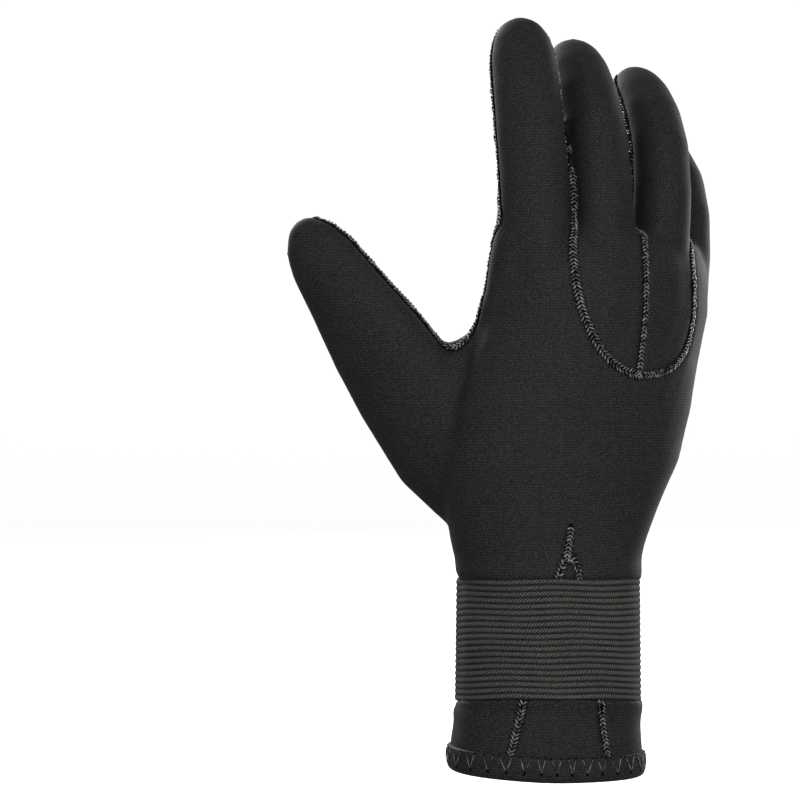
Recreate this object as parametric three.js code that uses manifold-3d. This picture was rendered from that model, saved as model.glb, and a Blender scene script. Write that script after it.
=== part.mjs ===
// A right-hand wetsuit diving glove of 3 mm neoprene, shown filled as on a hand: fingers up,
// the back of the hand towards -Y, the thumb towards -X and the palm towards +Y.
// The hand goes in through the cuff at the bottom, and the inside is hollow to the fingertips.
// Panels: a grip palm, a back that wraps round the wrist, two knuckle panels with the backs of
// the middle and ring fingers, and a wrist gusset. A ribbed elastic strap goes round the wrist
// and laps over itself on the palm side, and a turned hem closes the cuff's edge.
// Millimetres, +Z up, origin at the centre of the cuff's opening.
import * as THREE from 'three';
import { mergeVertices } from 'three/addons/utils/BufferGeometryUtils.js';
import Module from 'manifold-3d';

const wasm = await Module();
wasm.setup();

// Driving dimensions, in millimetres
const wall = 3; // neoprene thickness
const seamGap = 0.4; // slit between two sewn panels
const fitGap = 0.35; // clearance between pieces that lie on each other

const wristWidth = 65;
const wristDepth = 48;
const palmWidth = 97; // round the arch of the knuckles
const palmDepth = 30; // back to palm at the knuckles
const cuffLength = 82; // cuff's edge to the wrist crease
const handLength = 117; // wrist crease to the webs of the fingers

const fingerLength = 91.8; // middle finger, web to tip
const fingerWidth = 26;
const fingerDepth = 23.5;
const rootLength = 24; // how far each finger's tube starts below the webs
const thumbLength = 128;
const thumbWidth = 30;
const thumbDepth = 26;

const hemHeight = 8;
const hemProud = 1.2; // how far the turned hem stands out of the cuff
const strapWidth = 44.5;
const strapThickness = 1.6;
const strapRise = 27; // cuff's edge to the strap's lower edge
const tabLength = 62; // the strap's end that laps over its start
const strapFreeEnd = 0.16; // where that end lies, in half turns from the little finger's side
const gussetWidth = 38; // along the cuff's edge
const gussetLength = 82; // cuff's edge to the dart's point

// How finely the curved pieces are faceted
const bodySides = 36;
const webSides = 12;
const digitSides = 16;
const strapStations = 64;

const webHeight = cuffLength + handLength;

// Sections of the cuff: rise as a share of cuffLength, width and depth as shares of the wrist's.
// The elastic strap squeezes the cuff between the third row and the last.
// heading turns the section about Z and turn bends it into an arch, both in degrees.
const cuffRows = [
  { rise: 0.0, width: 1.09, depth: 1.1, x: -0.012, y: 0.0, heading: 8, turn: 0, square: 2.25, thenar: 0 },
  { rise: 0.16, width: 1.08, depth: 1.07, x: -0.012, y: 0.0, heading: 8, turn: 0, square: 2.25, thenar: 0 },
  { rise: 0.29, width: 1.035, depth: 1.04, x: -0.002, y: 0.0, heading: 9, turn: 0, square: 2.2, thenar: 0 },
  { rise: 0.32, width: 0.965, depth: 0.99, x: 0.01, y: 0.0, heading: 9, turn: 0, square: 2.2, thenar: 0 },
  { rise: 0.88, width: 0.95, depth: 0.975, x: 0.012, y: 0.0, heading: 10, turn: 0, square: 2.2, thenar: 0 },
  { rise: 0.91, width: 1.02, depth: 1.02, x: 0.004, y: 0.0, heading: 10, turn: 0, square: 2.2, thenar: 0 },
];

// Sections of the hand: rise as a share of handLength above the cuff, width and x as shares of
// palmWidth, depth and y as shares of palmDepth. thenar is the fullness at the thumb's root.
const handRows = [
  { rise: 0.02, width: 0.74, depth: 1.58, x: 0.0, y: 0.0, heading: 12, turn: 6, square: 2.2, thenar: 0.02 },
  { rise: 0.14, width: 0.83, depth: 1.54, x: 0.02, y: 0.02, heading: 16, turn: 16, square: 2.25, thenar: 0.08 },
  { rise: 0.28, width: 0.94, depth: 1.48, x: 0.07, y: 0.05, heading: 21, turn: 32, square: 2.3, thenar: 0.14 },
  { rise: 0.44, width: 1.0, depth: 1.36, x: 0.13, y: 0.1, heading: 26, turn: 50, square: 2.35, thenar: 0.14 },
  { rise: 0.6, width: 1.02, depth: 1.22, x: 0.2, y: 0.16, heading: 30, turn: 68, square: 2.4, thenar: 0.08 },
  { rise: 0.75, width: 1.04, depth: 1.04, x: 0.28, y: 0.22, heading: 33, turn: 82, square: 2.45, thenar: 0.03 },
  { rise: 0.88, width: 1.03, depth: 0.86, x: 0.31, y: 0.26, heading: 34, turn: 88, square: 2.5, thenar: 0 },
  { rise: 0.96, width: 1.0, depth: 0.62, x: 0.315, y: 0.27, heading: 34, turn: 89, square: 2.5, thenar: 0 },
  { rise: 1.0, width: 0.92, depth: 0.28, x: 0.315, y: 0.27, heading: 34, turn: 89, square: 2.5, thenar: 0 },
];

// Fingers: place is the share of palmWidth along the knuckle arch from its middle, length, width
// and depth are shares of the middle finger's. The angles are in degrees: heading of the finger's
// broad side, splay towards the little finger, flex at the root and curl added by the tip.
const fingerForms = {
  index: { place: -0.342, length: 0.94, width: 1.01, depth: 1.02 },
  middle: { place: -0.1, length: 1.0, width: 0.99, depth: 1.0 },
  ring: { place: 0.155, length: 0.938, width: 0.96, depth: 0.96 },
  little: { place: 0.395, length: 0.77, width: 0.84, depth: 0.86 },
};
const fingerAngles = {
  index: { heading: 3, splay: -3, flex: 4, curl: 22 },
  middle: { heading: 13, splay: 1.5, flex: 8, curl: 40 },
  ring: { heading: 21, splay: 10, flex: 8, curl: 44 },
  little: { heading: 28, splay: 14, flex: 14, curl: 50 },
};

// Sections along a finger and along the thumb: shares of its length, width and depth
const fingerProfile = [
  { at: 0.0, width: 1.0, depth: 1.0 },
  { at: 0.2, width: 1.02, depth: 1.03 },
  { at: 0.38, width: 1.0, depth: 1.0 },
  { at: 0.55, width: 1.0, depth: 0.99 },
  { at: 0.7, width: 0.99, depth: 0.96 },
  { at: 0.82, width: 0.95, depth: 0.9 },
  { at: 0.895, width: 0.84, depth: 0.79 },
  { at: 0.95, width: 0.64, depth: 0.6 },
  { at: 0.985, width: 0.36, depth: 0.34 },
];
const thumbProfile = [
  { at: 0.0, width: 1.05, depth: 1.0 },
  { at: 0.2, width: 1.5, depth: 1.22 },
  { at: 0.42, width: 1.44, depth: 1.18 },
  { at: 0.58, width: 1.3, depth: 1.08 },
  { at: 0.74, width: 1.07, depth: 0.98 },
  { at: 0.86, width: 0.93, depth: 0.88 },
  { at: 0.93, width: 0.74, depth: 0.7 },
  { at: 0.98, width: 0.4, depth: 0.38 },
];

// The thumb's root, as shares of palmWidth and handLength, and its angles
const thumb = { x: -0.222, y: 0.03, rise: 0.13, lean: 33.5, forward: 3, roll: 22 };

// The web between the thumb and the index finger, as balls along its rim from the thumb to the
// finger's side: x as a share of palmWidth, rise as a share of handLength above the cuff, out
// towards the palm as a share of palmDepth, and radius as a share of palmDepth. Each stretch of
// the web reaches back to the ball named by core.
const thumbWeb = [
  { x: -0.546, rise: 0.547, out: 0.2, radius: 0.4, core: 0 },
  { x: -0.385, rise: 0.585, out: 0.06, radius: 0.22, core: 0 },
  { x: -0.267, rise: 0.628, out: -0.03, radius: 0.22, core: 0 },
  { x: -0.207, rise: 0.693, out: -0.08, radius: 0.235, core: 0 },
  { x: -0.18, rise: 0.754, out: -0.1, radius: 0.27, core: 1 },
  { x: -0.145, rise: 0.801, out: -0.1, radius: 0.32, core: 1 },
  { x: -0.109, rise: 0.925, out: -0.07, radius: 0.37, core: 1 },
  { x: -0.081, rise: 1.018, out: -0.03, radius: 0.385, core: 1 },
  { x: -0.062, rise: 1.137, out: 0.02, radius: 0.4, core: 1 },
];
const webCores = [
  { x: -0.258, rise: 0.496, out: 0, radius: 0.4 },
  { x: -0.052, rise: 0.82, out: -0.03, radius: 0.4 },
];

// The palm panel's outline seen from the back, on the wrist's heel and the thumb's outer side:
// x as a share of palmWidth, rise as a share of handLength above the cuff
const palmOutline = [
  { x: -0.86, rise: 1.16 },
  { x: -0.9, rise: 1.0 },
  { x: -0.86, rise: 0.84 },
  { x: -0.76, rise: 0.67 },
  { x: -0.65, rise: 0.52 },
  { x: -0.54, rise: 0.37 },
  { x: -0.42, rise: 0.22 },
  { x: -0.28, rise: 0.11 },
  { x: -0.12, rise: 0.035 },
  { x: 0.06, rise: 0.0 },
  { x: 0.24, rise: 0.0 },
  { x: 0.36, rise: 0.05 },
  { x: 0.47, rise: 0.17 },
  { x: 0.56, rise: 0.34 },
  { x: 0.9, rise: 0.6 },
  { x: 0.9, rise: 1.9 },
  { x: -0.7, rise: 1.9 },
];

// The U of the knuckle panels' seam on the back, in the same shares, from the web beside the
// index finger round to the web beside the little finger, and the seam between the two panels
const knuckleLeft = [
  { x: 0.075, rise: 1.03 },
  { x: 0.085, rise: 0.93 },
  { x: 0.098, rise: 0.8 },
  { x: 0.125, rise: 0.715 },
  { x: 0.17, rise: 0.635 },
  { x: 0.25, rise: 0.566 },
];
const knuckleRight = [
  { x: 0.41, rise: 0.546 },
  { x: 0.49, rise: 0.578 },
  { x: 0.535, rise: 0.63 },
  { x: 0.56, rise: 0.7 },
  { x: 0.567, rise: 0.79 },
  { x: 0.565, rise: 1.03 },
];
const knuckleMiddle = [
  { x: 0.328, rise: 0.542 },
  { x: 0.347, rise: 0.65 },
  { x: 0.362, rise: 0.77 },
  { x: 0.362, rise: 1.03 },
];

// The wrist gusset's outline, seen square from the back: x as a share of gussetWidth, rise as a
// share of gussetLength above the cuff's edge
const gussetOutline = [
  { x: -0.47, rise: -0.1 },
  { x: -0.41, rise: 0.1 },
  { x: -0.26, rise: 0.37 },
  { x: 0.04, rise: 0.88 },
  { x: 0.13, rise: 1.0 },
  { x: 0.2, rise: 1.0 },
  { x: 0.25, rise: 0.88 },
  { x: 0.43, rise: 0.37 },
  { x: 0.53, rise: 0.1 },
  { x: 0.56, rise: -0.1 },
];

// The turned hem's section: out from the cuff's surface in shares of hemProud, in from it in
// shares of wall, and rise as a share of hemHeight
const hemProfile = [
  { out: 0.6, inward: 0, rise: 1.0 },
  { out: 1.0, inward: 0, rise: 0.86 },
  { out: 1.0, inward: 0, rise: 0.34 },
  { out: 0.5, inward: 0, rise: 0.1 },
  { out: 0, inward: 0.4, rise: 0.0 },
  { out: 0, inward: 0.8, rise: 0.0 },
  { out: 0, inward: 1.15, rise: 0.14 },
  { out: 0, inward: 1.2, rise: 0.4 },
  { out: 0, inward: 1.1, rise: 1.0 },
];

const radians = THREE.MathUtils.degToRad;
const mix = (a, b, t) => a + (b - a) * t;
const signedPower = (value, power) => Math.sign(value) * Math.abs(value) ** power;

// Sections in millimetres, from the cuff's edge to the webs
const sections = [
  ...cuffRows.map((row) => ({
    ...row,
    z: row.rise * cuffLength,
    width: row.width * wristWidth,
    depth: row.depth * wristDepth,
    x: row.x * wristWidth,
    y: row.y * wristDepth,
  })),
  ...handRows.map((row) => ({
    ...row,
    z: cuffLength + row.rise * handLength,
    width: row.width * palmWidth,
    depth: row.depth * palmDepth,
    x: row.x * palmWidth,
    y: row.y * palmDepth,
  })),
];

// The section at height z, between the two rows round it
function sectionAt(z) {
  const last = sections.length - 1;
  const above = sections.findIndex((row) => row.z > z);
  const upper = above < 0 ? last : Math.max(1, above);
  const a = sections[upper - 1];
  const b = sections[upper];
  const t = THREE.MathUtils.clamp((z - a.z) / (b.z - a.z), 0, 1);
  const made = { z };
  for (const key of ['width', 'depth', 'x', 'y', 'heading', 'turn', 'square', 'thenar']) {
    made[key] = mix(a[key], b[key], t);
  }
  return made;
}

// A point of a section: along its arched middle line by s, and out of it by v towards the palm
function onSection(section, s, v, z = section.z) {
  const bend = radians(section.turn) / section.width;
  const heading = radians(section.heading) + bend * s;
  const start = radians(section.heading);
  const straight = Math.abs(bend) < 1e-6;
  const along = straight ? s * Math.cos(start) : (Math.sin(heading) - Math.sin(start)) / bend;
  const across = straight ? s * Math.sin(start) : (Math.cos(start) - Math.cos(heading)) / bend;
  return new THREE.Vector3(
    section.x + along - v * Math.sin(heading),
    section.y + across + v * Math.cos(heading),
    z,
  );
}

// The outline of a section, taken in by inset or let out by a negative one
function bodyRing(section, inset, z = section.z, sides = bodySides) {
  const ring = [];
  for (let i = 0; i < sides; i += 1) {
    ring.push(bodyPoint(section, inset, (i / sides) * 2 * Math.PI, z));
  }
  return ring;
}

function bodyPoint(section, inset, angle, z = section.z) {
  const power = 2 / section.square;
  const along = signedPower(Math.cos(angle), power);
  const out = signedPower(Math.sin(angle), power);
  const s = along * (section.width / 2 - inset);
  const fullness = out > 0 ? section.thenar * section.depth * Math.max(0, -along) : 0;
  const v = out * (section.depth / 2 - inset + fullness);
  return onSection(section, s, v, z);
}

// A closed solid through rings of equal count, with flat ends or a point at the far end
function loft(rings, apex = null) {
  const vertices = rings.flat();
  const sides = rings[0].length;
  const triangles = [];
  for (let r = 0; r + 1 < rings.length; r += 1) {
    for (let i = 0; i < sides; i += 1) {
      const a = r * sides + i;
      const b = r * sides + ((i + 1) % sides);
      triangles.push([a, b, b + sides], [a, b + sides, a + sides]);
    }
  }
  const middle = (ring) => ring.reduce((sum, p) => sum.add(p), new THREE.Vector3()).divideScalar(sides);
  const first = vertices.push(middle(rings[0])) - 1;
  const top = (rings.length - 1) * sides;
  const last = vertices.push(apex ?? middle(rings.at(-1))) - 1;
  for (let i = 0; i < sides; i += 1) {
    const next = (i + 1) % sides;
    triangles.push([first, next, i], [last, top + i, top + next]);
  }
  return solid(vertices, triangles);
}

// A manifold solid from points and triangles, turned outwards if its faces point inwards
function solid(vertices, triangles) {
  const geometry = new THREE.BufferGeometry();
  geometry.setAttribute(
    'position',
    new THREE.Float32BufferAttribute(vertices.flatMap((p) => p.toArray()), 3),
  );
  geometry.setIndex(triangles.flat());
  const merged = mergeVertices(geometry, 1e-4);
  const build = (triVerts) => new wasm.Manifold(
    new wasm.Mesh({ numProp: 3, vertProperties: merged.attributes.position.array, triVerts }),
  );
  const triVerts = new Uint32Array(merged.index.array);
  const made = build(triVerts);
  if (made.volume() > 0) return made;
  return build(triVerts.reverse());
}

function geometryOf(manifold) {
  const mesh = manifold.getMesh();
  const geometry = new THREE.BufferGeometry();
  geometry.setAttribute('position', new THREE.BufferAttribute(mesh.vertProperties, 3));
  geometry.setIndex(new THREE.BufferAttribute(mesh.triVerts, 1));
  const flat = geometry.toNonIndexed();
  flat.computeVertexNormals();
  return flat;
}

// The hand's body: its outer form, or its hollow when taken in by the wall
function bodySolid(inset) {
  const top = sections.at(-1);
  const squeeze = (webHeight - 1.3 * inset) / webHeight;
  const sides = inset > 0 ? (bodySides * 3) / 4 : bodySides;
  const rings = sections.map((section) => bodyRing(section, inset, section.z * squeeze, sides));
  if (inset > 0) rings[0].forEach((p) => p.setZ(-wall));
  return loft(rings, onSection(top, 0, 0, webHeight - inset));
}

// A digit's centre line: points with the directions of its length, breadth and palm side
function spineOf({ start, length, heading, splay, flex, curl }, profile) {
  const side = new THREE.Vector3(Math.cos(radians(heading)), Math.sin(radians(heading)), 0);
  const palmward = new THREE.Vector3(-side.y, side.x, 0);
  const up = new THREE.Vector3(0, 0, 1);
  const steps = 40;
  const samples = [];
  const point = start.clone();
  for (let i = 0; i <= steps; i += 1) {
    const share = i / steps;
    const bend = radians(flex + curl * THREE.MathUtils.smoothstep(share, 0.15, 0.9));
    const ahead = up.clone().multiplyScalar(Math.cos(radians(splay)));
    ahead.addScaledVector(side, Math.sin(radians(splay)));
    const along = ahead.clone().multiplyScalar(Math.cos(bend)).addScaledVector(palmward, Math.sin(bend));
    samples.push({ share, point: point.clone(), along });
    point.addScaledVector(along, length / steps);
  }
  const at = (share) => samples[Math.round(share * steps)];
  const frames = [...profile, { at: 1, width: 0, depth: 0 }].map((row) => {
    const { along, point: centre } = at(row.at);
    const palm = palmward.clone().addScaledVector(along, -palmward.dot(along)).normalize();
    const broad = new THREE.Vector3().crossVectors(palm, along).normalize();
    return { ...row, centre, along, palm, broad };
  });
  return frames;
}

// A digit as a solid, taken in by inset
function digitSolid(digit, inset = 0) {
  const sides = inset > 0 ? digitSides * 0.75 : digitSides;
  const tip = digit.frames.at(-1);
  const rows = digit.frames.slice(0, -1);
  const rings = rows.map((row) => {
    const ring = [];
    const halfWidth = Math.max(0.4, (row.width * digit.width) / 2 - inset);
    const halfDepth = Math.max(0.4, (row.depth * digit.depth) / 2 - inset);
    const centre = row.centre.clone().addScaledVector(row.along, -inset * row.at);
    for (let i = 0; i < sides; i += 1) {
      const angle = (i / sides) * 2 * Math.PI;
      const p = centre.clone().addScaledVector(row.broad, Math.cos(angle) * halfWidth);
      ring.push(p.addScaledVector(row.palm, Math.sin(angle) * halfDepth));
    }
    return ring;
  });
  return loft(rings, tip.centre.clone().addScaledVector(tip.along, -inset));
}

const knuckles = sectionAt(webHeight - rootLength);
const digits = Object.entries(fingerForms).map(([name, form]) => {
  const start = onSection(knuckles, form.place * palmWidth, 0);
  const length = form.length * fingerLength + rootLength;
  const frames = spineOf({ ...fingerAngles[name], start, length }, fingerProfile);
  return { name, width: form.width * fingerWidth, depth: form.depth * fingerDepth, frames };
});

// The thumb's centre line is straight. Its breadth is rolled, so that its seam lies towards the
// back on the inner side and towards the palm on the outer side.
function thumbDigit() {
  const lean = radians(thumb.lean);
  const forward = radians(thumb.forward);
  const roll = radians(thumb.roll);
  const along = new THREE.Vector3(-Math.sin(lean), Math.sin(forward), Math.cos(lean)).normalize();
  const flatSide = new THREE.Vector3(0, 1, 0).cross(along).normalize();
  const flatPalm = new THREE.Vector3().crossVectors(along, flatSide).normalize();
  const broad = flatSide.clone().multiplyScalar(Math.cos(roll)).addScaledVector(flatPalm, -Math.sin(roll));
  const palm = new THREE.Vector3().crossVectors(along, broad).normalize();
  const root = new THREE.Vector3(
    thumb.x * palmWidth,
    thumb.y * palmWidth,
    cuffLength + thumb.rise * handLength,
  );
  const frames = [...thumbProfile, { at: 1, width: 0, depth: 0 }].map((row) => ({
    ...row,
    centre: root.clone().addScaledVector(along, row.at * thumbLength),
    along,
    palm,
    broad,
  }));
  return { name: 'thumb', width: thumbWidth, depth: thumbDepth, frames };
}
digits.push(thumbDigit());

const union = (solids) => solids.reduce((sum, next) => sum.add(next));
// The main body of a cut piece, without the specks and needles that cutting leaves
const largest = (made) => made.simplify(0.02).decompose().sort((a, b) => b.volume() - a.volume())[0];

// The web beside the thumb: stretches between neighbouring balls of its rim and their core
function webSolid(inset) {
  const sides = inset > 0 ? webSides * 0.75 : webSides;
  const ball = (row) => wasm.Manifold.sphere(row.radius * palmDepth - inset, sides).translate([
    row.x * palmWidth,
    row.out * palmDepth,
    cuffLength + row.rise * handLength,
  ]);
  const stretches = thumbWeb.slice(1).map((row, i) => (
    wasm.Manifold.hull([ball(thumbWeb[i]), ball(row), ball(webCores[row.core])])
  ));
  return union(stretches);
}

// The whole glove's form, taken in by inset
const handForm = (inset) => union([
  bodySolid(inset),
  webSolid(inset),
  ...digits.map((digit) => digitSolid(digit, inset)),
]);
const shell = handForm(0).subtract(handForm(wall));

// A slab across the whole glove, in Y, with an outline given in shares and let out by grow
function outlinePrism(outline, grow = 0, near = -wristWidth * 2, far = wristWidth * 2) {
  const points = outline.map((p) => new THREE.Vector2(p.x * palmWidth, cuffLength + p.rise * handLength));
  return prism(points, grow, near, far);
}

function prism(points, grow, near, far) {
  const count = points.length;
  const area = points.reduce((sum, p, i) => sum + p.cross(points[(i + 1) % count]), 0);
  const side = Math.sign(area);
  const grown = points.map((p, i) => {
    const before = p.clone().sub(points[(i + count - 1) % count]).normalize();
    const after = points[(i + 1) % count].clone().sub(p).normalize();
    const normal = new THREE.Vector2(before.y + after.y, -before.x - after.x).normalize();
    const reach = Math.max(0.5, normal.dot(new THREE.Vector2(after.y, -after.x)));
    return p.clone().addScaledVector(normal, (side * grow) / reach);
  });
  const shape = new THREE.Shape(grown);
  const geometry = new THREE.ExtrudeGeometry(shape, { depth: far - near, bevelEnabled: false });
  geometry.deleteAttribute('normal');
  geometry.deleteAttribute('uv');
  // The shape is drawn in X and Z, and its depth runs along Y
  geometry.rotateX(Math.PI / 2);
  geometry.translate(0, far, 0);
  const merged = mergeVertices(geometry, 1e-4);
  const vertices = [];
  for (let i = 0; i < merged.attributes.position.count; i += 1) {
    vertices.push(new THREE.Vector3().fromBufferAttribute(merged.attributes.position, i));
  }
  const triangles = [];
  for (let i = 0; i < merged.index.count; i += 3) {
    triangles.push([merged.index.array[i], merged.index.array[i + 1], merged.index.array[i + 2]]);
  }
  return solid(vertices, triangles);
}

// Everything behind the side seams of the body, towards the back, with the seam moved by shift
function bodyBackHalf(shift) {
  const reach = palmWidth * 0.62;
  const deep = wristDepth;
  const stations = 14;
  const rings = sections.map((section) => {
    const half = Math.min(reach, section.width * 0.62);
    const row = (out) => Array.from(
      { length: stations + 1 },
      (_, i) => onSection(section, mix(-half, half, i / stations), out),
    );
    return [...row(shift), ...row(-deep).reverse()];
  });
  rings[0].forEach((p) => p.setZ(-wristDepth));
  rings.at(-1).forEach((p) => p.setZ(webHeight + fitGap + shift));
  return loft(rings);
}

// Half a tube round a digit, from its side seams to beyond its back and its tip: the room its
// back panel takes. grow widens it all round, and shift moves the side seams towards the palm.
function halfTube(digit, grow = 0, shift = grow) {
  const wide = Math.max(...digit.frames.slice(-4).map((row) => row.width));
  const rings = digit.frames.map((row) => {
    const halfWidth = (Math.max(row.width, wide) * digit.width) / 2 + seamGap + grow;
    const halfDepth = (Math.max(row.depth, wide) * digit.depth) / 2 + seamGap + grow;
    const ring = [];
    for (let i = 0; i <= digitSides / 2; i += 1) {
      const angle = Math.PI + (i / digitSides) * 2 * Math.PI;
      const atSeam = i === 0 || i === digitSides / 2;
      const p = row.centre.clone().addScaledVector(row.broad, Math.cos(angle) * halfWidth);
      ring.push(p.addScaledVector(row.palm, atSeam ? shift : Math.sin(angle) * halfDepth));
    }
    return ring;
  });
  const tip = digit.frames.at(-1);
  rings.push(rings.at(-1).map((p) => p.clone().addScaledVector(tip.along, wall + grow)));
  return loft(rings);
}

const digitNamed = (name) => digits.find((digit) => digit.name === name);
const backHalf = (shift) => union([bodyBackHalf(shift), ...digits.map((digit) => halfTube(digit, shift))]);

// The cuff's wall stops on the turned hem
const wallStart = hemHeight + fitGap;
const sleeve = shell.trimByPlane([0, 0, 1], wallStart);

const palmPanel = sleeve.intersect(outlinePrism(palmOutline)).subtract(backHalf(seamGap));
const palmRoom = outlinePrism(palmOutline, seamGap).subtract(backHalf(0));
const backs = sleeve.subtract(palmRoom);

// Rooms for the two knuckle panels: their place on the back of the hand, less the neighbouring
// fingers, and the half tube of their own finger
function knuckleRoom(outline, own, neighbours, grow = 0) {
  const others = neighbours.map((name) => halfTube(digitNamed(name), -grow));
  const place = outlinePrism(outline, grow).subtract(union(others));
  return place.add(halfTube(digitNamed(own), grow, 2 * seamGap + grow));
}
const seamDown = knuckleMiddle.toReversed();
const middleOutline = [...knuckleLeft, ...knuckleMiddle];
const ringOutline = [...seamDown, ...knuckleRight];
const middleRoom = (grow) => knuckleRoom(middleOutline, 'middle', ['index', 'ring'], grow);
const ringRoom = (grow) => knuckleRoom(ringOutline, 'ring', ['middle', 'little'], grow);

const gussetRoom = (grow) => prism(
  gussetOutline.map((p) => new THREE.Vector2(p.x * gussetWidth, p.rise * gussetLength)),
  grow,
  -wristDepth * 2,
  0,
);

const middlePanel = backs.intersect(middleRoom(0));
const ringPanel = backs.intersect(ringRoom(0)).subtract(middleRoom(seamGap));
const gusset = backs.intersect(gussetRoom(0));
const backPanel = backs
  .subtract(middleRoom(seamGap))
  .subtract(ringRoom(seamGap))
  .subtract(gussetRoom(seamGap));

// A closed band round the cuff from a profile of offsets out of its surface and heights
function band(profile) {
  const vertices = [];
  const triangles = [];
  const count = profile.length;
  profile.forEach(({ out, z }) => vertices.push(...bodyRing(sectionAt(z), -out, z)));
  for (let k = 0; k < count; k += 1) {
    const next = (k + 1) % count;
    for (let i = 0; i < bodySides; i += 1) {
      const j = (i + 1) % bodySides;
      const a = k * bodySides + i;
      const b = k * bodySides + j;
      const c = next * bodySides + j;
      const d = next * bodySides + i;
      triangles.push([a, b, c], [a, c, d]);
    }
  }
  return solid(vertices, triangles);
}
const hem = band(hemProfile.map((row) => ({
  out: row.out * hemProud - row.inward * wall,
  z: row.rise * hemHeight,
})));

// The strap: one ribbon from the palm side round the little finger's side, the back and the
// thumb's side, and on over its own start. Angles go round the wrist's section.
function strapSolid() {
  const perimeter = Math.PI * (wristWidth + wristDepth) / 2;
  const lap = (tabLength / perimeter) * 2 * Math.PI;
  const freeEnd = strapFreeEnd * Math.PI;
  const start = freeEnd + lap;
  const whole = lap + 2 * Math.PI;
  const low = fitGap;
  const high = 2 * fitGap + strapThickness;
  const rings = [];
  for (let i = 0; i <= strapStations; i += 1) {
    const turned = (i / strapStations) * whole;
    const climb = THREE.MathUtils.smoothstep(turned, 2 * Math.PI - 0.42, 2 * Math.PI - 0.08);
    const inside = mix(low, high, climb);
    const ring = [];
    const point = (share, out) => {
      const z = strapRise + share * strapWidth;
      return bodyPoint(sectionAt(z), -out, start - turned, z);
    };
    for (const share of [0, 0.5, 1]) ring.push(point(share, inside));
    for (const share of [1, 0.5, 0]) ring.push(point(share, inside + strapThickness));
    rings.push(ring);
  }
  return loft(rings);
}

const group = new THREE.Group();
function add(name, manifold, colour, roughness) {
  const material = new THREE.MeshStandardMaterial({ color: colour, roughness, metalness: 0 });
  const mesh = new THREE.Mesh(geometryOf(largest(manifold)), material);
  mesh.name = name;
  group.add(mesh);
}
add('palm_panel', palmPanel, '#1b1b1d', 0.85);
add('back_panel', backPanel, '#1c1c1e', 0.85);
add('knuckle_panel_middle', middlePanel, '#1d1d1f', 0.85);
add('knuckle_panel_ring', ringPanel, '#1d1d1f', 0.85);
add('wrist_gusset', gusset, '#1c1c1e', 0.85);
add('elastic_strap', strapSolid(), '#2c2c2a', 0.9);
add('cuff_hem', hem, '#1b1b1d', 0.8);

export default group;
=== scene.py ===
"""Right-hand neoprene diving glove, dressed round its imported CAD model.

The panels are one smooth skin laid over the CAD panels and cut apart again along the seams.
Seam threads, grip dots, the ribbed strap and the stitched hem are built on that skin.
Everything is in metres, in the frame of the CAD model.
"""

import math
import random

import bmesh
import bpy
from bpy.props import FloatProperty, IntProperty, PointerProperty, StringProperty
from mathutils import Matrix, Vector, kdtree
from mathutils.bvhtree import BVHTree


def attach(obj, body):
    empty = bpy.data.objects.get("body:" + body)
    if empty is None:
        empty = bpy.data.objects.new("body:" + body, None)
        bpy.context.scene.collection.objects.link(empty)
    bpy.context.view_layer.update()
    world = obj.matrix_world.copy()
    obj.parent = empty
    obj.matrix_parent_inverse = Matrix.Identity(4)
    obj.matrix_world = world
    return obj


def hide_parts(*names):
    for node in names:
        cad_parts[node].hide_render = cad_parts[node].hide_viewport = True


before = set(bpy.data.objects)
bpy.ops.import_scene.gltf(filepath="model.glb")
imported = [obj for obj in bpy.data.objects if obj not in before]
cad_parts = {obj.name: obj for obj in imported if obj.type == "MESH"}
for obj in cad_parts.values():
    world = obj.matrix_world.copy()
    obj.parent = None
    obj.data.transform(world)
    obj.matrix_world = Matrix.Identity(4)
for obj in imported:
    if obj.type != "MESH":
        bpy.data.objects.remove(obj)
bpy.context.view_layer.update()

bl_info = {
    "name": "Diving glove",
    "version": (1, 0, 0),
    "blender": (4, 5, 0),
    "location": "View3D > Sidebar > Glove",
    "description": "Dresses the diving glove with neoprene, seams, grip dots, strap and hem",
    "category": "Object",
}

MM = 0.001
IMAGE_SIZE = 800  # pixels, square
PIXEL = 0.365 * MM  # one pixel of the photograph at the middle of the glove
ORIGIN_PIXEL = (548, 775)  # where the photograph shows the centre of the cuff opening

# The panels of the glove: CAD node, name of the dressed piece, and record slot
PANELS = (
    ("palm_panel", "grip_palm", "grip_neoprene"),
    ("back_panel", "glove_back", "neoprene"),
    ("knuckle_panel_middle", "middle_knuckle", "neoprene"),
    ("knuckle_panel_ring", "ring_knuckle", "neoprene"),
    ("wrist_gusset", "wrist_dart", "neoprene"),
)
PALM, BACK, MIDDLE, RING, DART = range(5)

# Where the strap's tab starts and ends round the wrist, in radians from the little finger's side
TAB_TURNS = (math.radians(36), math.radians(160))

# The oval of the wrist: half its width and half its depth under the strap, the mean radius that
# turns an angle into a length for the strap's UVs, and the radius of the lapped tab
WRIST_WIDE, WRIST_DEEP = 0.0325, 0.024
WRIST_MEAN = 0.0285
TAB_RADIUS = 0.031

# The same for the hem: half its width and depth, its mean radius, and where its stitches are aimed
HEM_WIDE, HEM_DEEP = 0.035, 0.026
HEM_MEAN = 0.0305
HEM_AIM = 0.033

# Rises and swellings in millimetres, after the photograph. The strap's edges look straight there,
# though this camera would bow a level ring, and the hem is higher on the thumb's side.
STRAP_RISE = 3.8  # of the strap's lower edge at the back of the hand
STRAP_RISE_LOSS = 1.8  # how much less its upper edge rises there
HEM_RISE_THUMB, HEM_RISE_BACK = 2.2, 1.1
SWELL_ABOVE, SWELL_BELOW = 2.1, 2.4  # of the cuff, above and below the strap
SWELL_ALL, SWELL_SIDES = 0.45, 0.55  # shares of the swelling all round, and more at the two sides

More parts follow.
